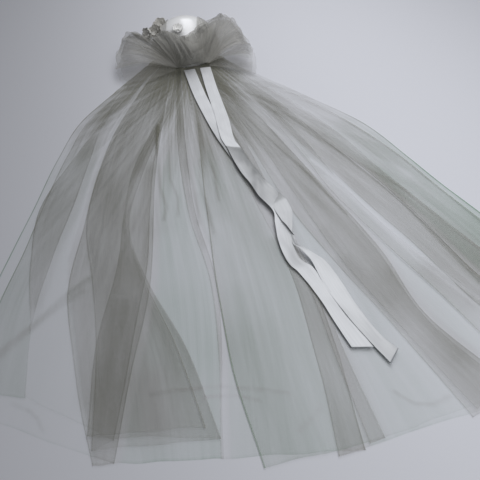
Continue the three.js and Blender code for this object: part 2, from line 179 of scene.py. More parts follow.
def tulleMaterial(name, look):
    material, tree, shader = startMaterial(name)
    place = addNode(tree, "ShaderNodeAttribute", {"attribute_name": "clothPlace"}).outputs["Vector"]
    density, shade, strength = (addNode(tree, "ShaderNodeAttribute", {"attribute_name": key}).outputs["Fac"]
                                for key in ("netDensity", "foldShade", "streak"))
    streaks = []
    for width, length in (("gatherWidth", "gatherLength"), ("yarnStreak", "yarnLength")):
        scale = (1 / (look[width] * millimetre), 1 / (look[length] * millimetre), 1)
        spread = addNode(tree, "ShaderNodeVectorMath", {"operation": "MULTIPLY"}, {0: place, 1: scale})
        grain = addNode(tree, "ShaderNodeTexNoise", {"noise_dimensions": "2D"},
                        {"Vector": spread.outputs[0], "Scale": 1.0, "Detail": 2.0, "Roughness": 0.55})
        streaks.append(grain.outputs["Fac"])
    both = addNode(tree, "ShaderNodeMath", {"operation": "MULTIPLY_ADD"},
                   {0: streaks[1], 1: look["yarnShare"], 2: streaks[0]})
    centred = addNode(tree, "ShaderNodeMapRange", {"clamp": False},
                      {"Value": both.outputs[0], "From Min": 0.6, "From Max": 1.0,
                       "To Min": -0.5, "To Max": 0.5})
    amount = addNode(tree, "ShaderNodeMath", {"operation": "MULTIPLY_ADD"},
                     {0: centred.outputs[0], 1: strength, 2: 1.0})
    cells = addNode(tree, "ShaderNodeVectorMath", {"operation": "SCALE"},
                    {0: place, "Scale": 1 / (look["netCell"] * millimetre)})
    net = addNode(tree, "ShaderNodeTexVoronoi", {"voronoi_dimensions": "2D", "feature": "DISTANCE_TO_EDGE"},
                  {"Vector": cells.outputs[0], "Scale": 1.0, "Randomness": 0.35})
    yarn = addNode(tree, "ShaderNodeMapRange", None,
                   {"Value": net.outputs["Distance"], "From Min": 0.05, "From Max": 0.3,
                    "To Min": look["yarnCover"], "To Max": look["holeCover"]})
    uneven = addNode(tree, "ShaderNodeMath", {"operation": "MULTIPLY"},
                     {0: amount.outputs[0], 1: yarn.outputs[0]})
    kept = addNode(tree, "ShaderNodeMath", {"operation": "MAXIMUM"},
                   {0: uneven.outputs[0], 1: look["leastCover"]})
    layers = addNode(tree, "ShaderNodeMath", {"operation": "MULTIPLY"}, {0: kept.outputs[0], 1: density})
    # Each layer lets through what it does not cover, so many layers hide what lies below
    clear = addNode(tree, "ShaderNodeMath", {"operation": "POWER"},
                    {0: 1 - look["cover"], 1: layers.outputs[0]})
    cover = addNode(tree, "ShaderNodeMath", {"operation": "SUBTRACT", "use_clamp": True},
                    {0: 1.0, 1: clear.outputs[0]})
    colour = addNode(tree, "ShaderNodeMix", {"data_type": "RGBA"},
                     {"Factor": shade, "A": linear(look["pale"]), "B": linear(look["dense"])})
    tree.links.new(colour.outputs["Result"], shader.inputs["Base Color"])
    tree.links.new(cover.outputs[0], shader.inputs["Alpha"])
    shader.inputs["Roughness"].default_value = look["roughness"]
    shader.inputs["Specular IOR Level"].default_value = look["gloss"]
    return material


# Woven satin, floats along the length: smooth white face, soft long highlight; the "back" colour is painted
# shade
# The edge colour is painted shade, a grey line along the ribbons' edges and over the cut end
satinLook = {
    "face": "#f0f1f2", "fold": "#dcdee0", "back": "#8e9090", "edgeShade": "#868b90",
    "floatWidth": 1.6, "floatLength": 60, "bump": 0.12, "bumpDepth": 0.4,
    "roughness": 0.36, "gloss": 0.5, "sheen": 0.25, "sheenRoughness": 0.4,
}


def satinMaterial(name, look):
    material, tree, shader = startMaterial(name)
    place = addNode(tree, "ShaderNodeAttribute", {"attribute_name": "clothPlace"}).outputs["Vector"]
    back, edge = (addNode(tree, "ShaderNodeAttribute", {"attribute_name": key}).outputs["Fac"]
                  for key in ("paintedShade", "edgeShade"))
    scale = (1 / (look["floatWidth"] * millimetre), 1 / (look["floatLength"] * millimetre), 1)
    spread = addNode(tree, "ShaderNodeVectorMath", {"operation": "MULTIPLY"}, {0: place, 1: scale})
    floats = addNode(tree, "ShaderNodeTexNoise", {"noise_dimensions": "2D"},
                     {"Vector": spread.outputs[0], "Scale": 1.0, "Detail": 3.0})
    colour = addNode(tree, "ShaderNodeMix", {"data_type": "RGBA"},
                     {"Factor": floats.outputs["Fac"], "A": linear(look["fold"]), "B": linear(look["face"])})
    # Painted shade: the dark grey back colour, where the ribbon tables lay it
    shadeMix = addNode(tree, "ShaderNodeMix", {"data_type": "RGBA"},
                     {"Factor": back, "A": colour.outputs["Result"], "B": linear(look["back"])})
    # Painted shade: a grey line along the edges
    edgeMix = addNode(tree, "ShaderNodeMix", {"data_type": "RGBA"},
                    {"Factor": edge, "A": shadeMix.outputs["Result"], "B": linear(look["edgeShade"])})
    bump = addNode(tree, "ShaderNodeBump", None,
                   {"Strength": look["bump"], "Distance": look["bumpDepth"] * millimetre,
                    "Height": floats.outputs["Fac"]})
    tree.links.new(edgeMix.outputs["Result"], shader.inputs["Base Color"])
    tree.links.new(bump.outputs["Normal"], shader.inputs["Normal"])
    shader.inputs["Roughness"].default_value = look["roughness"]
    shader.inputs["Sheen Weight"].default_value = look["sheen"]
    shader.inputs["Sheen Roughness"].default_value = look["sheenRoughness"]
    shader.inputs["Specular IOR Level"].default_value = look["gloss"]
    return material


# Sized cotton, cut and pressed to petals: matt, off-white, mottled grey by a fine noise
petalLook = {"face": "#f0efeb", "fold": "#bdbab3", "veinWidth": 1.8, "bump": 0.25, "bumpDepth": 0.5,
             "roughness": 0.75}


def petalMaterial(name, look):
    material, tree, shader = startMaterial(name)
    place = addNode(tree, "ShaderNodeTexCoord").outputs["Object"]
    grain = addNode(tree, "ShaderNodeTexNoise", None,
                    {"Vector": place, "Scale": 1 / (look["veinWidth"] * millimetre), "Detail": 3.0})
    colour = addNode(tree, "ShaderNodeMix", {"data_type": "RGBA"},
                     {"Factor": grain.outputs["Fac"], "A": linear(look["fold"]), "B": linear(look["face"])})
    bump = addNode(tree, "ShaderNodeBump", None,
                   {"Strength": look["bump"], "Distance": look["bumpDepth"] * millimetre,
                    "Height": grain.outputs["Fac"]})
    tree.links.new(colour.outputs["Result"], shader.inputs["Base Color"])
    tree.links.new(bump.outputs["Normal"], shader.inputs["Normal"])
    shader.inputs["Roughness"].default_value = look["roughness"]
    return material


tulle = tulleMaterial("nylon tulle", tulleLook)
# Gathered net: the "dense" colour is the lighter one, painted light towards the root against the shade there
poufTulle = tulleMaterial("nylon tulle gathered",
                          dict(tulleLook, pale="#9d9c97", dense="#b6b4ad", cover=0.12))
satin = satinMaterial("satin ribbon", satinLook)
capSatin = satinMaterial("satin cap cover",
                         dict(satinLook, face="#ffffff", fold="#f6f6f5", roughness=0.2, gloss=1.0))
# Lit and shaded copies of one cloth: the greyer one for the side cluster is painted shade, the whiter one
# for the crown flower painted light
petalCloth = petalMaterial("sized cotton petals", petalLook)
paintedLightPetals = petalMaterial("sized cotton petals painted light", dict(petalLook, face="#ffffff", fold="#f3f2ee"))
print("materials made")


# Net sheets: a row for each fold line, with its x in mm at nine places from the gather to the hem, then
# the hem's y. The rows come in the order in which the cloth passes them: an edge, a fold at the right,
# the fold at the left, and so on. "flat" and "fold" are the cover of each flat and each folded stretch,
# in layers of net.

alongPlaces = (0, 0.06, 0.15, 0.27, 0.4, 0.55, 0.7, 0.85, 1)
capCentre = (5.0, 84.0)
capHalf = (76.0, 60.0, 80.0)
gatherAway = 3.7
knot = (2.0, 6.0)

lowerNet = {
    "name": "tulle_lower", "node": "veil_lower", "base": 0.5, "spacing": 3.2, "grey": 0.0, "seed": 11.0,
    "folds": [
        (-72, -110, -166, -236, -277, -313, -350, -390, -425, -625),
        (-44, -52, -66, -90, -115, -136, -156, -193, -228, -748),
        (-56, -88, -129, -176, -213, -242, -270, -265, -250, -742),
        (-20, -25, -36, -50, -62, -71, -68, -86, -112, -772),
        (-28, -34, -47, -63, -75, -82, -76, -90, -115, -770),
        (8, 13, 22, 34, 46, 57, 62, 57, 41, -803),
        (-8, -8, -4, 6, 18, 30, 38, 28, 10, -801),
        (36, 52, 74, 99, 124, 154, 180, 192, 250, -792),
        (22, 31, 41, 51, 62, 77, 107, 143, 175, -801),
        (60, 85, 118, 156, 192, 234, 269, 298, 350, -755),
        (50, 70, 96, 123, 150, 188, 228, 262, 305, -775),
        (74, 99, 147, 212, 279, 317, 351, 387, 424, -700),
    ],
    "flat": (0.3, 2.0, 1.25, 1.1, 0.8, 3.0), "fold": (1.45, 0.8, 1.4, 1.25, 1.65), "even": 4.3,
    "cut": (1.22, 0.86), "cutArea": 0.90,
}
upperLeftNet = {
    "name": "tulle_upper_left", "node": "veil_upper_left", "base": 2.2, "spacing": 3.0,
    "grey": 0.3, "seed": 23.0,
    "folds": [
        (-68, -105, -157, -223, -262, -298, -329, -365, -400, -618),
        (-52, -88, -141, -197, -225, -256, -290, -316, -322, -650),
        (-60, -111, -157, -201, -254, -307, -320, -319, -324, -645),
        (-28, -44, -66, -92, -118, -140, -160, -193, -226, -722),
        (-46, -76, -118, -169, -210, -238, -236, -238, -250, -728),
        (-16, -27, -49, -93, -137, -175, -161, -127, -110, -752),
        (-22, -34, -58, -104, -150, -180, -202, -237, -254, -712),
        (-17, -30, -53, -97, -141, -179, -167, -140, -124, -735),
    ],
    "flat": (2.1, 0.2, 0.6, 1.15), "fold": (1.45, 1.15, 1.9), "even": 0.8,
    "cut": (0.55, 0.80), "cutArea": 0.34,
}
upperRightNet = {
    "name": "tulle_upper_right", "node": "veil_upper_right", "base": 2.2, "spacing": 3.0,
    "grey": 0.45, "seed": 37.0,
    "folds": [
        (-8, -10, -15, -25, -40, -55, -69, -78, -72, -792),
        (8, 20, 34, 46, 54, 60, 66, 64, 67, -796),
        (2, 12, 23, 32, 40, 47, 54, 51, 48, -797),
        (26, 43, 67, 97, 123, 148, 173, 185, 236, -785),
        (18, 33, 50, 67, 81, 97, 116, 148, 184, -793),
        (42, 64, 95, 131, 158, 179, 213, 267, 292, -765),
        (36, 55, 82, 113, 136, 155, 189, 229, 262, -775),
        (60, 89, 129, 178, 221, 255, 292, 331, 362, -725),
        (52, 71, 100, 141, 189, 235, 267, 289, 314, -745),
        (70, 94, 138, 198, 258, 305, 338, 371, 404, -695),
    ],
    "flat": (1.9, 0.6, 0.6, 0.7, 2.7), "fold": (1.3, 0.85, 0.7, 2.0), "even": 0.8,
    "cut": (0.80, 0.86), "cutArea": 0.60,
}
foldLook = {
    "rows": 190, "endRows": 0.2, "endColumns": 0.38, "leastColumns": 8,      # crowded at the ends
    "pitch": 0.6, "clear": 3.0, "drop": 9.0,      # height of a layer, then its way down
    "narrowFold": 9.0, "leastFold": 0.1, "lap": 0.5,
    "turnCover": 4.0, "turnEven": 0.7, "rim": (0.8, 1.9), "rimCover": 1.5,
    "edgeCover": 4.5, "edgeLeast": 2.6, "hemCover": 1.9, "hemLeast": 1.2,
    "wander": 2.4, "wanderTurns": 7, "hemWave": 3.0, "hemWaveLength": 45,
    "mottle": 0.5, "mottleWidth": 48, "mottleLength": 130,
    "spread": 0.55, "spreadLeft": 0.35, "spreadFrom": 40, "spreadOver": 60,
    "clothLength": 0.85,
}
# Ridges and streaks fan out from the knot: share, turns for each radian, length in mm, seed
pleatLook = {
    "height": 2.4, "reach": 240.0, "start": 30.0, "bias": 0.3,
    "ridges": ((1.0, 13, 300, 4.2), (0.6, 31, 160, 9.6)),
    "streak": 0.8, "streakLeast": 0.55, "streakReach": 460.0,
    "streaks": ((0.5, 17, 300, 4.2), (0.6, 38, 220, 9.6), (0.55, 80, 150, 2.3), (0.4, 150, 120, 7.1)),
    "full": 1.1, "fullGrey": 0.9, "headFull": 0.6, "headReach": 0.27, "even": 0.96, "evenReach": 0.45,
    "grain": 0.35, "headGrain": 0.7, "grainReach": 0.4,
}
wrinkleLook = {"height": 1.6, "across": 60.0, "along": 120.0}

# Creases and soft patches on the table's plan: half width in mm, cover added in layers (or the share taken
# away), height, how grey, and the points of its line in mm
creases = [
    (4.2, 1.0, 1.6, 1, [(-240, -492), (-266, -509), (-293, -531), (-314, -549), (-336, -564), (-370, -590)]),
    (3.4, 0.7, 1.0, 1, [(-250, -512), (-272, -524), (-299, -541), (-324, -560), (-362, -592)]),
    (1.8, 0.8, 1.2, 1, [(-179, -681), (-138, -685), (-92, -694), (-47, -709), (-20, -721)]),
    (1.8, 0.8, 1.0, 1, [(-117, -700), (-83, -706), (-54, -722)]),
    (1.8, 1.0, 1.4, 1, [(101, -750), (117, -769), (139, -776), (164, -772)]),
    (1.8, 1.4, 1.2, 1, [(-338, -650), (-321, -661), (-309, -675), (-302, -693)]),
    (2.6, 3.4, 2.0, 1, [(-96, -170), (-104, -215), (-111, -279), (-116, -334), (-113, -382), (-122, -408)]),
    (2.2, 2.6, 1.6, 1, [(-74, -200), (-88, -262), (-97, -318), (-92, -366), (-99, -404)]),
    (2.2, 2.2, 1.6, 1, [(-48, -190), (-55, -250), (-61, -310), (-63, -372), (-70, -431)]),
    (2.2, 1.8, 1.4, 1, [(-40, -280), (-50, -339), (-50, -398), (-52, -456)]),
    (2.0, 1.6, 1.2, 1, [(-20, -180), (-26, -260), (-22, -330), (-30, -390)]),
    (1.8, 0.5, 1.0, 1, [(-23, -765), (-1, -754), (11, -745)]),
    (3.2, -0.7, 0, 1, [(150, -330), (177, -399), (217, -538), (273, -662)]),
    (2.4, -0.6, 0, 1, [(160, -380), (180, -434), (224, -579), (267, -672)]),
    (1.8, 1.5, 0.8, 1, [(117, -124), (201, -308), (256, -461), (289, -638)]),
    (1.8, 1.2, 0.8, 1, [(130, -180), (222, -352), (270, -433), (323, -585)]),
    (1.8, 1.2, 0.6, 1, [(60, -150), (96, -260), (128, -350), (160, -470)]),
    (6, 1.2, 0, 1, [(-99, -22), (-117, -42), (-138, -66), (-163, -111)]),
    (24, -0.45, 0, 1, [(104, -64), (142, -111), (188, -163), (240, -218)]),
    (13, 1.2, 0, 1, [(-173, -29), (-197, -143)]),
    (26, -0.62, 0, 1, [(125, -37), (165, -72), (204, -120), (259, -199), (305, -280), (339, -352)]),
    (22, 1.2, 0, 0.5, [(-114, -294), (-125, -421)]),
    (13, 0.9, 0, 0.5, [(-61, -370), (-67, -467)]),
    (13, 0.5, 0, 1, [(-247, -512), (-253, -669)]),
    (17, -0.25, 0, 1, [(-180, -438), (-189, -527)]),
    (28, 0.5, 0, 1, [(-178, -670), (-178, -713)]),
    (15, -0.2, 0, 1, [(113, -327), (113, -472)]),
    (15, -0.25, 0, 1, [(110, -543), (142, -639)]),
    (28, 0.35, 0, 1, [(-206, -300), (-190, -480)]),
    (22, -0.3, 0, 1, [(-45, -450), (-40, -540)]),
    (38, 1.4, 0, 1, [(-24, -60), (-40, -190), (-52, -280)]),
    (34, 1.0, 0, 0.0, [(-120, -565), (-106, -640)]),
    (26, -0.35, 0, 1, [(152, -690), (168, -790)]),
    (18, 0.5, 0, 1, [(118, -560), (146, -632)]),
    (22, -0.4, 0, 1, [(131, -61), (160, -122), (196, -202), (221, -291), (254, -349), (293, -405)]),
    # Thins the net beside the ribbons' left edge: partly painted light against their shadow, partly a
    # thinner net
    (12, -0.5, 0, 1, [(35, -397), (37, -434), (34, -476)]),
    (20, 0.5, 0, 0.8, [(179, -597), (192, -643), (199, -685), (205, -723)]),
    (18, 0.5, 0, 0.8, [(231, -601), (258, -660)]),
    # Thins the net under the pouf's right lobe: partly painted light against its shadow, partly a thinner
    # net
    (16, -0.6, 0, 1, [(78, 4), (116, -10)]),
    (38, 0.8, 0, 0.3, [(-47, -643), (-54, -721), (-56, -778)]),
]


# The gather follows the cap's back edge, a little outside it
def gatherY(x):
    across = np.clip((x - capCentre[0]) / (capHalf[0] + gatherAway), -0.999, 0.999)
    return capCentre[1] - (capHalf[1] + gatherAway) * np.sqrt(1 - across * across)


def fanPlace(x, y):
    dx, dy = x - knot[0], y - knot[1]
    return np.hypot(dx, dy), np.arctan2(dx, -dy)


def fanBands(bands, reach, angle):
    return sum(share * ripple(angle * turns, reach / length, seed) for share, turns, length, seed in bands)


def gatherStreaks(x, y):
    reach, angle = fanPlace(x, y)
    return np.exp(-(reach / pleatLook["streakReach"]) ** 2) * fanBands(pleatLook["streaks"], reach, angle)


def creaseShare(points, width, x, y):
    away = np.full(np.shape(x), 1e9)
    line = np.array(points, float)
    for (ax, ay), (bx, by) in zip(line[:-1], line[1:]):
        length = (bx - ax) ** 2 + (by - ay) ** 2
        t = np.clip(((x - ax) * (bx - ax) + (y - ay) * (by - ay)) / length, 0, 1)
        away = np.minimum(away, np.hypot(x - ax - t * (bx - ax), y - ay - t * (by - ay)))
    return np.exp(-(away / width) ** 2)


# Height of the cloth over the table, the same for all that lies there: gathers, soft wrinkles and creases
def clothLift(x, y):
    reach, angle = fanPlace(x, y)
    ridges = fanBands(pleatLook["ridges"], reach, angle)
    fade = np.exp(-(reach / pleatLook["reach"]) ** 2) * smoothStep(reach / pleatLook["start"])
    soft = ripple(x / wrinkleLook["across"], y / wrinkleLook["along"], 1.7)
    lift = (pleatLook["height"] * fade * np.maximum(ridges + pleatLook["bias"], 0)
            + wrinkleLook["height"] * np.maximum(soft, 0))
    for width, _, height, _, points in creases:
        if height:
            lift = lift + height * creaseShare(points, width, x, y)
    return lift


def crowded(count, share):
    even = np.linspace(0, 1, count)
    return (1 - share) * even + share * (0.5 - 0.5 * np.cos(np.pi * even))


# A fold that narrows to nothing is flatter and paler
def foldWeight(gap):
    return np.clip(gap / foldLook["narrowFold"], foldLook["leastFold"], 1)


# The cloth's columns in order: x, x at the gather, y at the hem, height, cover, shade, place across
def netColumns(net, lines, hemYs, evenOut):
    look, rows = foldLook, foldLook["rows"]
    laid = np.abs(np.diff(lines, axis=0))
    leftEnds = np.minimum(lines[:-1], lines[1:]) - look["lap"]
    rightEnds = np.maximum(lines[:-1], lines[1:]) + look["lap"]
    noFold = np.full(rows, 99.0)
    columns = []
    cloth = 0.0
    for k in range(len(lines) - 1):
        start, end = lines[k], lines[k + 1]
        width = laid[k][rows // 4:].max()
        back = k % 2 == 1                    # the cloth runs back to the left, on top of what it passed
        more = k + 2 < len(lines)
        if back:
            fold = start - end
        elif k:
            fold = lines[k - 1] - start
        else:
            fold = noFold
        nextFold = end - lines[k + 2] if more and not back else noFold
        weight, nextWeight = foldWeight(fold), foldWeight(nextFold)
        pitch, nextPitch = look["pitch"] * weight, look["pitch"] * nextWeight
        steps = crowded(max(look["leastColumns"], int(width / net["spacing"])), look["endColumns"])
        rim = np.array(look["rim"]) / width
        for s in np.sort(np.concatenate([steps, rim, 1 - rim])):
            x = start + (end - start) * s
            gather = start[0] + (end[0] - start[0]) * s
            hem = hemYs[k] + (hemYs[k + 1] - hemYs[k]) * s
            if back:
                z, shade = pitch, np.ones(rows)
            elif k == 0:
                z, shade = np.zeros(rows), np.zeros(rows)
            else:
                down = smoothStep((x - lines[k - 1] - look["clear"]) / look["drop"])
                z, shade = 2 * pitch * (1 - down), 1 - down
            if more and not back:
                shade = np.maximum(shade, smoothStep((x - lines[k + 2]) / look["clear"]))
            plain = net["flat"][k // 2]
            near = net["fold"][min(k // 2, len(net["fold"]) - 1)] * (weight if back else nextWeight)
            if k and not back and not more:
                near = net["fold"][-1] * weight
            elif k and not back:
                downBy = lines[k - 1] + look["clear"] + look["drop"]
                near = np.where(x < downBy, net["fold"][k // 2 - 1] * weight, near)
            cover = plain + (near - plain) * shade
            # Close to the head the layers share one even cover, thinner towards the sides
            layers = np.maximum(((x >= leftEnds) & (x <= rightEnds)).sum(axis=0), 1)
            aside = smoothStep((np.abs(x) - look["spreadFrom"]) / look["spreadOver"])
            spreadOut = 1 - look["spread"] * np.where(x > 0, 1, look["spreadLeft"]) * aside
            cover = cover + (net["even"] * spreadOut / layers - cover) * evenOut
            if min(s, 1 - s) <= rim[0] * 1.01:
                crisp = nextWeight if s > 0.5 and not back else weight
                cover = cover + look["rimCover"] * crisp * (1 - evenOut)
            columns.append((x, gather, hem, z, cover, shade, cloth + width * s))
        cloth += width
        if more:
            turn, low, turnWeight = (pitch, pitch, weight) if back else (nextPitch, 0 * pitch, nextWeight)
            cover = look["turnCover"] * turnWeight * (1 - look["turnEven"] * evenOut)
            for degrees in (45, 90, 135):
                angle = math.radians(degrees)
                out = (-1 if back else 1) * turn / 2 * math.sin(angle)
                rise = low + turn / 2 * (1 - math.cos(angle))
                columns.append((end + out, end[0], hemYs[k + 1], rise, cover, np.ones(rows), cloth))
    return columns


def netSheet(net):
    rows = foldLook["rows"]
    runs = crowded(rows, foldLook["endRows"])
    lines = np.array([alongTable(alongPlaces, row[:-1], runs) for row in net["folds"]])
    hemYs = np.array([row[-1] for row in net["folds"]], float)
    for k in range(len(lines)):
        wander = ripple(runs * foldLook["wanderTurns"], 0 * runs + k // 2, net["seed"])
        lines[k] += foldLook["wander"] * runs * wander
    laid = np.abs(np.diff(lines, axis=0)).sum(axis=0)
    fullness = np.maximum(laid.max() / laid, 1.0) ** pleatLook["full"]
    fullness = fullness * (1 + pleatLook["headFull"] * np.exp(-(runs / pleatLook["headReach"]) ** 2))
    evenOut = pleatLook["even"] * np.exp(-(runs / pleatLook["evenReach"]) ** 2)
    columns = netColumns(net, lines, hemYs, evenOut)
    mesh, across, along = gridMesh(net["name"], len(columns), rows)
    x, gather, hem, z, cover, shade, u = (
        np.array([np.broadcast_to(column[part], rows) for column in columns]) for part in range(7))
    hemWave = ripple(u / foldLook["hemWaveLength"], np.full_like(u, net["seed"]), 3.3)
    hem = hem + foldLook["hemWave"] * hemWave
    top = gatherY(gather)
    y = top + (hem - top) * runs
    for side in (0, 1, -2, -1):
        cover[side] = np.maximum(cover[side] * foldLook["edgeCover"], foldLook["edgeLeast"])
    cover[:, -1] = np.maximum(cover[:, -1] * foldLook["hemCover"], foldLook["hemLeast"])
    streaks = 1 + pleatLook["streak"] * gatherStreaks(x, y)
    cover = cover * fullness * np.maximum(streaks, pleatLook["streakLeast"])
    mottle = ripple(x / foldLook["mottleWidth"], y / foldLook["mottleLength"], net["seed"] + 5)
    cover = cover * (1 + foldLook["mottle"] * mottle)
    shade = np.clip(shade + (fullness - 1) * pleatLook["fullGrey"] + evenOut + net["grey"], 0, 1)
    for width, added, _, grey, points in creases:
        share = creaseShare(points, width, x, y)
        if added < 0:
            cover = cover * (1 + added * share)
        else:
            cover = cover + added * share
            shade = np.maximum(shade, share * grey)
    headGrain = pleatLook["headGrain"] * np.exp(-(runs / pleatLook["grainReach"]) ** 2)
    streak = pleatLook["grain"] + headGrain + 0 * x
    z = z + net["base"] + clothLift(x, y)
    points = np.stack([x, y, z], axis=-1)[across, along]
    place = np.stack([u * millimetre + net["seed"], runs * foldLook["clothLength"] + 0 * x, 0 * x], axis=-1)
    piece = finishMesh(mesh, points, tulle, {
        "clothPlace": place[across, along], "netDensity": cover[across, along],
        "foldShade": shade[across, along], "streak": streak[across, along]})
    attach(piece, "root")
    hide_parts(net["node"])
    return piece


lowerPiece = netSheet(lowerNet)
leftPiece = netSheet(upperLeftNet)
rightPiece = netSheet(upperRightNet)
print("net sheets laid:", [len(p.data.polygons) for p in (lowerPiece, leftPiece, rightPiece)])


# Pouf: ruffles from an oval root at the knot to a raw outer edge, in several layers for each lobe.
# "edge" is that outer edge as x, y, z in mm, "layers" has each layer's reach, bulge and phase,
# and the net thins towards the end of the edge that lies outside, at 0 or at 1.

leftPouf = {
    "name": "pouf_tulle_left", "node": "pouf_left", "rootHalf": (34, 4), "rootZ": 12, "bulge": 11,
    "forward": 30, "waves": 10, "depth": 7.0, "layers": ((1.0, 0, 0.0), (0.97, 5, 0.37), (0.92, -4, 0.71)),
    "edge": [(-156, 8, 27), (-149, 38, 40), (-133, 66, 54), (-114, 78, 66), (-90, 62, 62), (-70, 52, 64),
             (-48, 42, 72), (-31, 35, 78), (-14, 24, 70), (2, 20, 60)],
    "strap": [(-40, 30, 80), (-12, 22, 74), (-16, -12, 26), (18, -10, 23)],
    "thin": 1.0, "thinEnd": 0.65, "outside": 0, "seed": 51.0, "cut": (0.38, 0.13),
}
rightPouf = {
    "name": "pouf_tulle_right", "node": "pouf_right", "rootHalf": (40, 4), "rootZ": 13.7, "bulge": 11,
    "forward": 30, "waves": 10, "depth": 7.0, "layers": ((1.0, 0, 0.2), (0.97, 5, 0.55), (0.92, -4, 0.9)),
    "edge": [(-14, 20, 66), (-6, 21, 71), (13, 27, 75), (34, 38, 80), (60, 56, 82), (84, 72, 80),
             (106, 66, 75), (120, 41, 64), (129, 15, 50), (133, -4, 40), (129, -20, 30)],
    "thin": 1.0, "thinEnd": 0.7, "outside": 1, "seed": 67.0, "cut": (0.38, 0.13),
}
leftUnder = {
    "name": "pouf_under_tulle_left", "node": "pouf_under_left", "rootHalf": (34, 4), "rootZ": 7.5,
    "bulge": 2, "forward": 0, "waves": 6, "depth": 2.6, "layers": ((1.0, 0, 0.1), (0.92, 1.5, 0.6)),
    "edge": [(-130, -42, 5), (-151, -8, 10), (-151, 32, 20), (-131, 57, 30)],
    "thin": 0.21, "thinEnd": 0.0, "outside": 0, "seed": 83.0, "cut": (0.14, 0.13),
}
rightUnder = {
    "name": "pouf_under_tulle_right", "node": "pouf_under_right", "rootHalf": (40, 4), "rootZ": 8.5,
    "bulge": 2, "forward": 0, "waves": 6, "depth": 2.6, "layers": ((1.0, 0, 0.3), (0.92, 1.5, 0.8)),
    "edge": [(130, 40, 32), (141, 8, 22), (139, -20, 12), (129, -48, 6)],
    "thin": 0.24, "thinEnd": 0.0, "outside": 0, "seed": 97.0, "cut": (0.10, 0.12),
}
ruffleLook = {
    "waveColumns": 22, "rows": 26, "step": 0.004, "wander": 0.018, "jag": 0.04,
    "swing": 0.6, "evenSwing": 0.35, "unevenSwing": 0.9, "rootDepth": 0.08, "grow": 1.15,
    # Uneven forms: share, turns for each wave, turns along the run, seed
    "fine": (0.25, 4.5, 1.5, 7), "lump": (1.5, 0.5, 1.2, 9), "crumple": (2.1, 1.05, 3.5, 13),
    "cloud": (0.5, 0.9, 2.2, 21),
    "cover": 3.8, "rootCover": 2.0, "edgeCover": 1.4, "thinFrom": 0.72, "thinOver": 0.25,
    "edgePale": 0.8, "streak": 0.25, "clothWidth": 0.55, "clothLength": 0.14,
}
strapLook = {
    "columns": 15, "rows": 30, "forward": 26, "up": 14, "pleats": 2.5, "pleatForward": 3, "pleatUp": 2.5,
    "cover": 4.6, "fade": 0.3, "grey": 0.1, "streak": 1.2, "clothWidth": 0.03, "clothLength": 0.09,
}


def lobeSurface(pouf, across, run, reach, bulge):
    count = len(pouf["edge"])
    places = np.arange(count)
    edge = np.stack([alongTable(places, [row[axis] for row in pouf["edge"]], across * (count - 1))
                     for axis in range(3)], axis=-1)
    angle = np.arctan2(edge[..., 1] - knot[1], edge[..., 0] - knot[0])
    root = np.stack([knot[0] + pouf["rootHalf"][0] * np.cos(angle),
                     knot[1] + pouf["rootHalf"][1] * np.sin(angle), pouf["rootZ"] + 0 * angle], axis=-1)
    share = (run * reach)[..., None]
    point = root + (edge - root) * share
    swell = np.sin(np.pi * np.clip(run, 0, 1))
    point[..., 1] -= pouf["forward"] * np.clip(np.sin(angle), 0, 1) ** 2 * swell
    point[..., 2] += (pouf["bulge"] + bulge) * swell
    return point


def ruffleLayer(pouf, across, run, reach, bulge, phase):
    look, seed = ruffleLook, pouf["seed"] + 10 * phase

    def uneven(form):
        share, turns, runTurns, extra = look[form]
        return share * ripple(across * pouf["waves"] * turns, run * runTurns, seed + extra)

    wander = across + look["wander"] * ripple(across * 9, 0 * across, seed)
    jag = reach * (1 + look["jag"] * ripple(across * 17, 0 * across, seed + 2) * run)
    base = lobeSurface(pouf, across, run, jag, bulge)
    up = lobeSurface(pouf, np.clip(across + look["step"], 0, 1), run, jag, bulge)
    low = lobeSurface(pouf, np.clip(across - look["step"], 0, 1), run, jag, bulge)
    out = lobeSurface(pouf, across, run + look["step"], jag, bulge)
    normal = np.cross(out - base, up - low)
    normal /= np.maximum(np.linalg.norm(normal, axis=-1, keepdims=True), 1e-9)
    swing = np.cos(2 * np.pi * (pouf["waves"] * wander + phase))
    size = look["evenSwing"] + look["unevenSwing"] * ripple(across * 7, run * 0.8, seed + 5)
    depth = pouf["depth"] * (look["rootDepth"] + (1 - look["rootDepth"]) * run ** look["grow"])
    wave = depth * (look["swing"] * size * swing + uneven("fine") + uneven("lump") + uneven("crumple") * run)
    edgeCover = np.where(run == 1, look["edgeCover"], 1.0)
    toOutside = 1 - np.abs(across - pouf["outside"])
    thinEnd = 1 - pouf["thinEnd"] * smoothStep((toOutside - look["thinFrom"]) / look["thinOver"])
    cover = (look["cover"] + look["rootCover"] * (1 - run ** 3)) * edgeCover * pouf["thin"]
    place = [across * look["clothWidth"] + seed, run * look["clothLength"], 0 * run]
    return base + normal * wave[..., None], {
        "clothPlace": np.stack(place, axis=-1),
        "netDensity": cover * (thinEnd + uneven("cloud")),
        # Painted light: lighter colour towards the root, darker at the rim
        "foldShade": 1 - look["edgePale"] * run ** 2,
        "streak": look["streak"] + 0 * run}


# A narrow fold of net that is drawn over the front of a lobe, down to the knot
def strapLayer(pouf, across, run):
    look = strapLook
    topLeft, topRight, lowLeft, lowRight = (np.array(corner, float) for corner in pouf["strap"])
    upper = topLeft + (topRight - topLeft) * across[:, None]
    lower = lowLeft + (lowRight - lowLeft) * across[:, None]
    points = upper + (lower - upper) * run[:, None]
    swell = np.sin(np.pi * run)
    pleat = np.cos(2 * np.pi * look["pleats"] * across)
    points[:, 1] -= (look["forward"] + look["pleatForward"] * pleat) * swell
    points[:, 2] += (look["up"] + look["pleatUp"] * pleat) * swell
    place = [across * look["clothWidth"] + pouf["seed"], run * look["clothLength"], 0 * run]
    return points, {
        "clothPlace": np.stack(place, axis=-1),
        "netDensity": look["cover"] * smoothStep((1 - run) / look["fade"]),
        "foldShade": look["grey"] + 0 * run,
        "streak": look["streak"] + 0 * run}


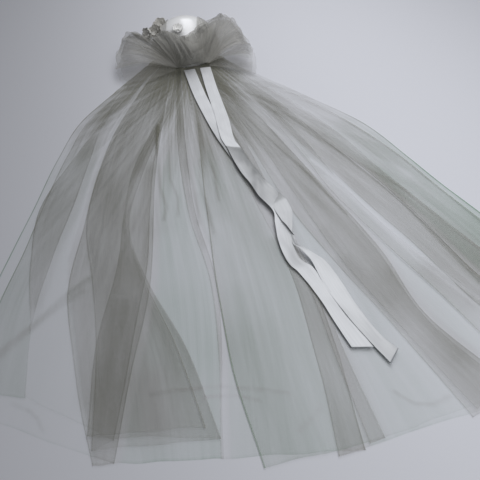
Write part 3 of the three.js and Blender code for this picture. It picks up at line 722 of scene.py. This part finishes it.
def poufPiece(pouf):
    bm = bmesh.new()
    made = []

    def addGrid(columns, rows):
        mesh, i, j = gridMesh("layer", columns, rows)
        bm.from_mesh(mesh)
        bpy.data.meshes.remove(mesh)
        return i / (columns - 1), j / (rows - 1)

    for layer in pouf["layers"]:
        across, run = addGrid(pouf["waves"] * ruffleLook["waveColumns"] + 1, ruffleLook["rows"])
        made.append(ruffleLayer(pouf, across, run, *layer))
    if "strap" in pouf:
        across, run = addGrid(strapLook["columns"], strapLook["rows"])
        made.append(strapLayer(pouf, across, run))
    mesh = meshFrom(bm, pouf["name"])
    points = np.concatenate([layerPoints for layerPoints, _ in made])
    values = {key: np.concatenate([layerValues[key] for _, layerValues in made]) for key in made[0][1]}
    piece = finishMesh(mesh, points, poufTulle, values)
    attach(piece, "root")
    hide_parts(pouf["node"])
    print(pouf["name"], "area", meshArea(piece))


for pouf in (leftPouf, rightPouf, leftUnder, rightUnder):
    poufPiece(pouf)
print("pouf gathered")


# Satin cap: half an ellipsoid shell open below, with soft puckers at the rim

capShape = {"wall": 2.5, "segments": 120, "rings": 60, "pucker": 0.7, "puckers": 34, "meanHalf": 70.0,
            "clothScale": (0.08, 0.08, 0)}


def capPiece():
    bm = bmesh.new()
    bmesh.ops.create_uvsphere(bm, u_segments=capShape["segments"], v_segments=capShape["rings"], radius=1.0)
    cutAway(bm, (0, 0, 0), (0, 0, 1))
    mesh = meshFrom(bm, "satin_cap")
    points = meshPoints(mesh)
    turn = np.arctan2(points[:, 1], points[:, 0])
    low = (1 - points[:, 2]) ** 3
    pull = 1 - capShape["pucker"] / capShape["meanHalf"] * low * (1 + np.cos(capShape["puckers"] * turn))
    shaped = points * np.array(capHalf) * np.stack([pull, pull, np.ones_like(pull)], axis=-1)
    shaped[:, :2] += capCentre
    place = points * np.array(capShape["clothScale"])
    piece = finishMesh(mesh, shaped, capSatin, {"clothPlace": place})
    addWall(piece, capShape["wall"], -1)
    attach(piece, "root")
    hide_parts("cap")


capPiece()

# Net carried over the flanks of the cap, on both sides of the bare crown
goreShape = {
    "right": 27.0, "left": -33.0, "fade": 5.0, "facing": (0.9675, -0.2527), "low": 0.12,
    "segments": 160, "rings": 100, "away": 1.6, "ripple": 0.8, "ripples": 9,
    "cover": 4.3, "grey": 0.5, "streak": 0.8, "rightCut": (0.105, 0.09), "leftCut": (0.10, 0.07),
}


def gorePiece(side, sign):
    bm = bmesh.new()
    bmesh.ops.create_uvsphere(bm, u_segments=goreShape["segments"], v_segments=goreShape["rings"],
                              radius=1.0)
    normal = Vector((capHalf[0] * goreShape["facing"][0], capHalf[1] * goreShape["facing"][1], 0))
    cutAway(bm, normal * (goreShape[side] / normal.length_squared), normal * sign)
    cutAway(bm, (0, 0, goreShape["low"]), (0, 0, 1))
    mesh = meshFrom(bm, "cap_tulle_" + side)
    points = meshPoints(mesh)
    waves = ripple(points[:, 0] * goreShape["ripples"], points[:, 1] * goreShape["ripples"], 6.5)
    away = goreShape["away"] + goreShape["ripple"] * waves
    shaped = points * (np.array(capHalf) + away[:, None])
    inside = sign * (shaped[:, :2] @ np.array(goreShape["facing"]) - goreShape[side])
    laid = goreShape["cover"] * smoothStep(inside / goreShape["fade"])
    shaped[:, :2] += capCentre
    place = points * np.array(capShape["clothScale"])
    even = np.ones_like(away)
    piece = finishMesh(mesh, shaped, poufTulle, {
        "clothPlace": place, "netDensity": laid, "foldShade": goreShape["grey"] * even,
        "streak": goreShape["streak"] * even})
    print(mesh.name, "area", meshArea(piece))
    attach(piece, "root")


gorePiece("right", 1)
gorePiece("left", -1)

# Satin band round the cap's back edge, with the small pleats of the gathers under it
bandShape = {"thickness": 2.5, "height": 9.0, "from": 197, "to": 343, "gap": 0.3,
             "pleats": 46, "pleat": 0.35, "columns": 180, "rows": 7}


def bandPiece():
    columns, rows = bandShape["columns"], bandShape["rows"]
    mesh, i, j = gridMesh("satin_band", columns, rows)
    turn = np.radians(bandShape["from"] + (bandShape["to"] - bandShape["from"]) * i / (columns - 1))
    pleat = bandShape["pleat"] * (1 + np.cos(bandShape["pleats"] * turn)) / 2
    away = bandShape["gap"] + bandShape["thickness"] - pleat
    height = bandShape["height"] * j / (rows - 1)
    points = np.stack([capCentre[0] + (capHalf[0] + away) * np.cos(turn),
                       capCentre[1] + (capHalf[1] + away) * np.sin(turn), height], axis=-1)
    place = np.stack([height * millimetre, turn * capShape["meanHalf"] * millimetre, 0 * turn], axis=-1)
    piece = finishMesh(mesh, points, capSatin, {"clothPlace": place})
    addWall(piece, bandShape["thickness"] - bandShape["pleat"], -1)
    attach(piece, "root")
    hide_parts("heading_band")


bandPiece()
print("cap and band made")


# Cloth flowers: cupped petals round a small knot of cloth, each on a stem from the cap

flowerShape = {
    "rings": ((6, 1.0, 1.0, 0.0), (4, 0.62, 1.9, 0.06)),      # petals, size, steepness, height
    "petalGrid": 8, "petalWidth": 0.58, "cup": 0.5, "curl": 0.16, "lap": 0.03, "wall": 0.5, "centre": 0.18,
    "stem": 1.3, "stemSides": 10,
}
flowerPlaces = [
    {"at": (-54, 88, 53), "face": (-0.45, -0.7, 0.55), "reach": 16, "cloth": petalCloth},
    {"at": (-42, 101, 59), "face": (-0.3, -0.6, 0.75), "reach": 16, "cloth": petalCloth},
    {"at": (-70, 93, 48), "face": (-0.8, -0.5, 0.3), "reach": 15, "cloth": petalCloth},
    {"at": (-12, 54, 69), "face": (-0.1, -0.35, 0.93), "reach": 12, "cloth": paintedLightPetals},
]


def addPetals(bm, number, count, size, steep, raised):
    look = flowerShape
    for petal in range(count):
        grid = bmesh.ops.create_grid(bm, x_segments=look["petalGrid"], y_segments=look["petalGrid"],
                                     size=0.5)["verts"]
        spin = Matrix.Rotation(2 * math.pi * petal / count + 0.3 * number + raised * 8, 4, "Z")
        spreading = 0.85 + 0.3 * ((petal * 7 + number * 3) % 5) / 4
        for vert in grid:
            out, side = vert.co.y + 0.5, vert.co.x * 2
            wide = look["petalWidth"] * math.sin(math.pi * min(out * 0.78 + 0.14, 1)) ** 0.7
            curl = look["curl"] * side * side * out
            rise = look["cup"] * steep * spreading * out * out + curl + look["lap"] * (petal % 2)
            vert.co = spin @ Vector((side * wide * size, out * (1 - curl) * size, rise * size + raised))


def addStem(bm, centre):
    middle = Vector((capCentre[0], capCentre[1], 0))
    away = centre - middle
    share = math.sqrt(sum((away[k] / capHalf[k]) ** 2 for k in range(3)))
    foot = middle + away / share
    along = centre - foot
    radius = flowerShape["stem"] * millimetre
    stem = bmesh.ops.create_cone(bm, cap_ends=True, segments=flowerShape["stemSides"], radius1=radius,
                                 radius2=radius, depth=max(along.length, 1) * millimetre)["verts"]
    upright = along.to_track_quat("Z", "Y").to_matrix().to_4x4()
    bmesh.ops.transform(bm, matrix=Matrix.Translation((foot + along / 2) * millimetre) @ upright, verts=stem)


def flowerPiece(number, flower):
    bm = bmesh.new()
    for ring in flowerShape["rings"]:
        addPetals(bm, number, *ring)
    bead = bmesh.ops.create_icosphere(bm, subdivisions=2, radius=flowerShape["centre"])["verts"]
    bmesh.ops.translate(bm, verts=bead, vec=(0, 0, flowerShape["centre"] * 0.9))
    centre = Vector(flower["at"])
    facing = Vector(flower["face"]).to_track_quat("Z", "Y").to_matrix().to_4x4()
    placed = Matrix.Translation(centre * millimetre) @ facing
    bmesh.ops.transform(bm, matrix=placed @ Matrix.Scale(flower["reach"] * millimetre, 4), verts=bm.verts)
    addStem(bm, centre)
    mesh = meshFrom(bm, "cloth_flower_%d" % number)
    piece = finishMesh(mesh, meshPoints(mesh) / millimetre, flower["cloth"], {})
    addWall(piece, flowerShape["wall"], 1)
    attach(piece, "root")
    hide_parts("flower_%d" % number)


for k, flower in enumerate(flowerPlaces):
    flowerPiece(k + 1, flower)
print("flowers made")


# Satin ribbons: a row for each section from the knot to the end, with x and y of the left edge and of
# the right edge in mm, the lift of each over the net, and how much painted shade each takes, as the dark
# grey back colour

ribbonShape = {
    "width": 25.0, "base": 3.6, "wall": 0.4, "sections": 400, "columns": 15, "clear": 0.6, "smooth": 12,
    "curl": 0.5, "curlLength": 60, "wave": 1.1, "shadeWave": 1.3, "waveLength": 26,
    "crinkle": 1.3, "crinkleLength": 40, "edgeShade": 0.25, "cutEnd": 0.9,
}
rightRibbon = {
    "name": "satin_ribbon_right", "node": "ribbon_right", "seed": 5.0,
    "edges": [
        (20, 4, 43, 4, 0, 0, 0, 0), (16, -80, 39, -84, 0, 0, 0, 0), (14, -165, 38, -172, 1, 1, 0, 0),
        (9, -240, 32, -254, 2.4, 2.4, 0, 0), (12, -264, 36, -275, 2.4, 3, 0, 0),
        (13, -268, 37, -279, 2.4, 3, 0.8, 1), (18, -323, 41, -311, 4, 5, 0.3, 1),
        (24, -353, 47, -340, 4, 6, 0.35, 1), (30, -376, 52, -365, 4, 6, 0.5, 0.85),
        (33, -400, 59, -383, 5, 5, 0.6, 0.4), (40, -418, 67, -402, 5, 3, 0.4, 0.5),
        (47, -443, 62, -438, 4, 2, 0, 0.1), (43, -460, 63, -454, 4, 2, 0, 0.15),
        (40, -476, 60, -473, 4, 2, 0, 0.25), (37, -495, 58, -495, 3, 1.5, 0, 0.3),
        (36, -514, 56, -516, 3, 1, 0, 0.35), (37, -530, 57, -531, 2, 0.5, 0.1, 0.4),
        (40, -544, 62, -543, 1, 0.3, 0.2, 0.3), (47, -557, 70, -554, 0, 0.3, 0, 0.1),
        (59, -598, 81, -609, 0, 0, 0, 0), (64, -627, 88, -637, 0, 0, 0, 0),
        (69, -659, 94, -667, 0, 0, 0, 0), (74, -686, 101, -693, 0, 0, 0, 0),
    ],
    "cut": (0.025, 0.72),
}
leftRibbon = {
    "name": "satin_ribbon_left", "node": "ribbon_left", "seed": 15.0,
    "edges": [
        (-15, 4, 9, 4, 0, 0, 0, 0), (-13, -80, 11, -82, 0, 0, 0, 0), (-7, -155, 17, -161, 0, 0, 0, 0),
        (0, -220, 23, -230, 0, 0, 0.2, 0.2), (10, -275, 33, -287, 0, 0, 0.8, 0.8),
        (22, -329, 45, -317, 0, 0, 1, 1), (28, -359, 51, -345, 0, 0, 1, 1), (33, -383, 56, -369, 0, 0, 1, 1),
        (38, -406, 64, -389, 1, 1, 0.9, 0.9), (47, -422, 72, -412, 3, 3, 0.7, 0.7),
        (49, -428, 75, -421, 4, 4, 0.25, 0.2), (50, -444, 76, -444, 6, 6, 0.2, 0.2),
        (52, -456, 69, -467, 7, 7, 0.2, 0.25), (55, -468, 61, -492, 7.5, 7, 0.2, 0.3),
        (60, -465, 63, -493, 1, 3, 0.6, 0.4), (57, -494, 61, -504, 1, 5, 0.4, 0.2),
        (56, -509, 60, -511, 3, 6, 0.2, 0.2), (62, -520, 67, -520, 5, 7, 0, 0),
        (67, -534, 78, -535, 5, 6, 0, 0.1), (72, -549, 91, -550, 2.5, 2.5, 0, 0.1),
        (75, -590, 101, -596, 0.7, 0.7, 0, 0), (80, -616, 104, -624, 0.7, 0.7, 0, 0),
        (86, -642, 109, -651, 0.7, 0.7, 0.1, 0.1), (95, -672, 118, -681, 0.6, 0.4, 0.2, 0.2),
        (112, -718, 130, -702, 0.2, 0.1, 0.3, 0.25),
    ],
    "cut": (0.025, 0.75),
}


def ribbonPiece(ribbon):
    look = ribbonShape
    sections, columns = look["sections"], look["columns"]
    rows = np.array(ribbon["edges"], float)
    middle = (rows[:, :2] + rows[:, 2:4]) / 2
    places = np.concatenate([[0], np.cumsum(np.hypot(*np.diff(middle, axis=0).T))])
    at = np.linspace(0, places[-1], sections)
    xa, ya, xb, yb, za, zb, shadeA, shadeB = (
        alongTable(places, rows[:, part], at, steady=True) for part in range(8))
    # The net below, at its highest across each section and smoothed along the ribbon
    shares = (0, 0.25, 0.5, 0.75, 1)
    under = np.max([clothLift(xa + (xb - xa) * t, ya + (yb - ya) * t) for t in shares], axis=0)
    count = 2 * look["smooth"] + 1
    under = np.convolve(np.pad(under, look["smooth"], mode="edge"), np.ones(count) / count, mode="valid")
    mesh, i, j = gridMesh(ribbon["name"], columns, sections)
    t = 0.5 - 0.5 * np.cos(np.pi * i / (columns - 1))
    side = 2 * t - 1
    # Painted shade: share of the dark grey back colour across the section; the waves and crinkles grow with
    # it
    back = np.clip(shadeA[j] + (shadeB - shadeA)[j] * t, 0, 1)
    z = look["base"] + look["clear"] + under[j] + za[j] + (zb - za)[j] * t
    z += look["curl"] * side * side * ripple(at[j] / look["curlLength"], 0 * side, ribbon["seed"])
    waves = ripple(at[j] / look["waveLength"], side * 0.8, ribbon["seed"] + 3)
    z += (look["wave"] + look["shadeWave"] * back) * waves
    z += look["crinkle"] * back * ripple(at[j] / look["crinkleLength"], side * 3.2, ribbon["seed"] + 6)
    points = np.stack([xa[j] + (xb - xa)[j] * t, ya[j] + (yb - ya)[j] * t, z], axis=-1)
    place = np.stack([side * look["width"] / 2 * millimetre, at[j] * millimetre, 0 * side], axis=-1)
    # Painted shade: a grey line along both edges and the cut end, full strength over the last stretch
    onEdge = (i == 0) | (i == columns - 1) | (j == sections - 1)
    nearEnd = at[j] > look["cutEnd"] * places[-1]
    edgeShade = np.where(onEdge, np.where(nearEnd, 1.0, look["edgeShade"]), 0.0)
    piece = finishMesh(mesh, points, satin, {"clothPlace": place, "paintedShade": back, "edgeShade": edgeShade})
    addWall(piece, look["wall"], 0)
    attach(piece, "root")
    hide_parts(ribbon["node"])
    print(ribbon["name"], "area", meshArea(piece))


for ribbon in (leftRibbon, rightRibbon):
    ribbonPiece(ribbon)
print("ribbons laid")


# Table and light

# Pressed laminate: pale, nearly matt
tableLook = {"half": 4, "colour": "#dcdde2", "roughness": 0.6, "gloss": 0.25}


def tablePiece():
    bm = bmesh.new()
    bmesh.ops.create_grid(bm, x_segments=2, y_segments=2, size=tableLook["half"])
    mesh = meshFrom(bm, "table")
    material, _, shader = startMaterial("pale laminate")
    shader.inputs["Base Color"].default_value = linear(tableLook["colour"])
    shader.inputs["Roughness"].default_value = tableLook["roughness"]
    shader.inputs["Specular IOR Level"].default_value = tableLook["gloss"]
    mesh.materials.append(material)
    table = bpy.data.objects.new("table", mesh)
    bpy.context.scene.collection.objects.link(table)


tablePiece()

windowLight = {"at": (0.29, -0.17, 0.95), "tilt": -20, "size": (0.6, 2.4), "power": 12.4,
               "colour": "#fbfcff"}
lampData = bpy.data.lights.new("window", "AREA")
lampData.shape = "RECTANGLE"
lampData.size, lampData.size_y = windowLight["size"]
lampData.energy = windowLight["power"]
lampData.color = linear(windowLight["colour"])[:3]
lamp = bpy.data.objects.new("window", lampData)
lamp.location = windowLight["at"]
lamp.rotation_euler = (0, math.radians(windowLight["tilt"]), 0)
bpy.context.scene.collection.objects.link(lamp)

roomLight = {"colour": "#eef0f5", "strength": 0.19}
world = bpy.data.worlds.new("room light")
world.use_nodes = True
background = world.node_tree.nodes["Background"]
background.inputs["Color"].default_value = linear(roomLight["colour"])
background.inputs["Strength"].default_value = roomLight["strength"]
bpy.context.scene.world = world
bpy.context.scene.view_settings.view_transform = "Standard"
bpy.context.scene.cycles.transparent_max_bounces = 48      # many layers of net lie on each other
print("table and light set")
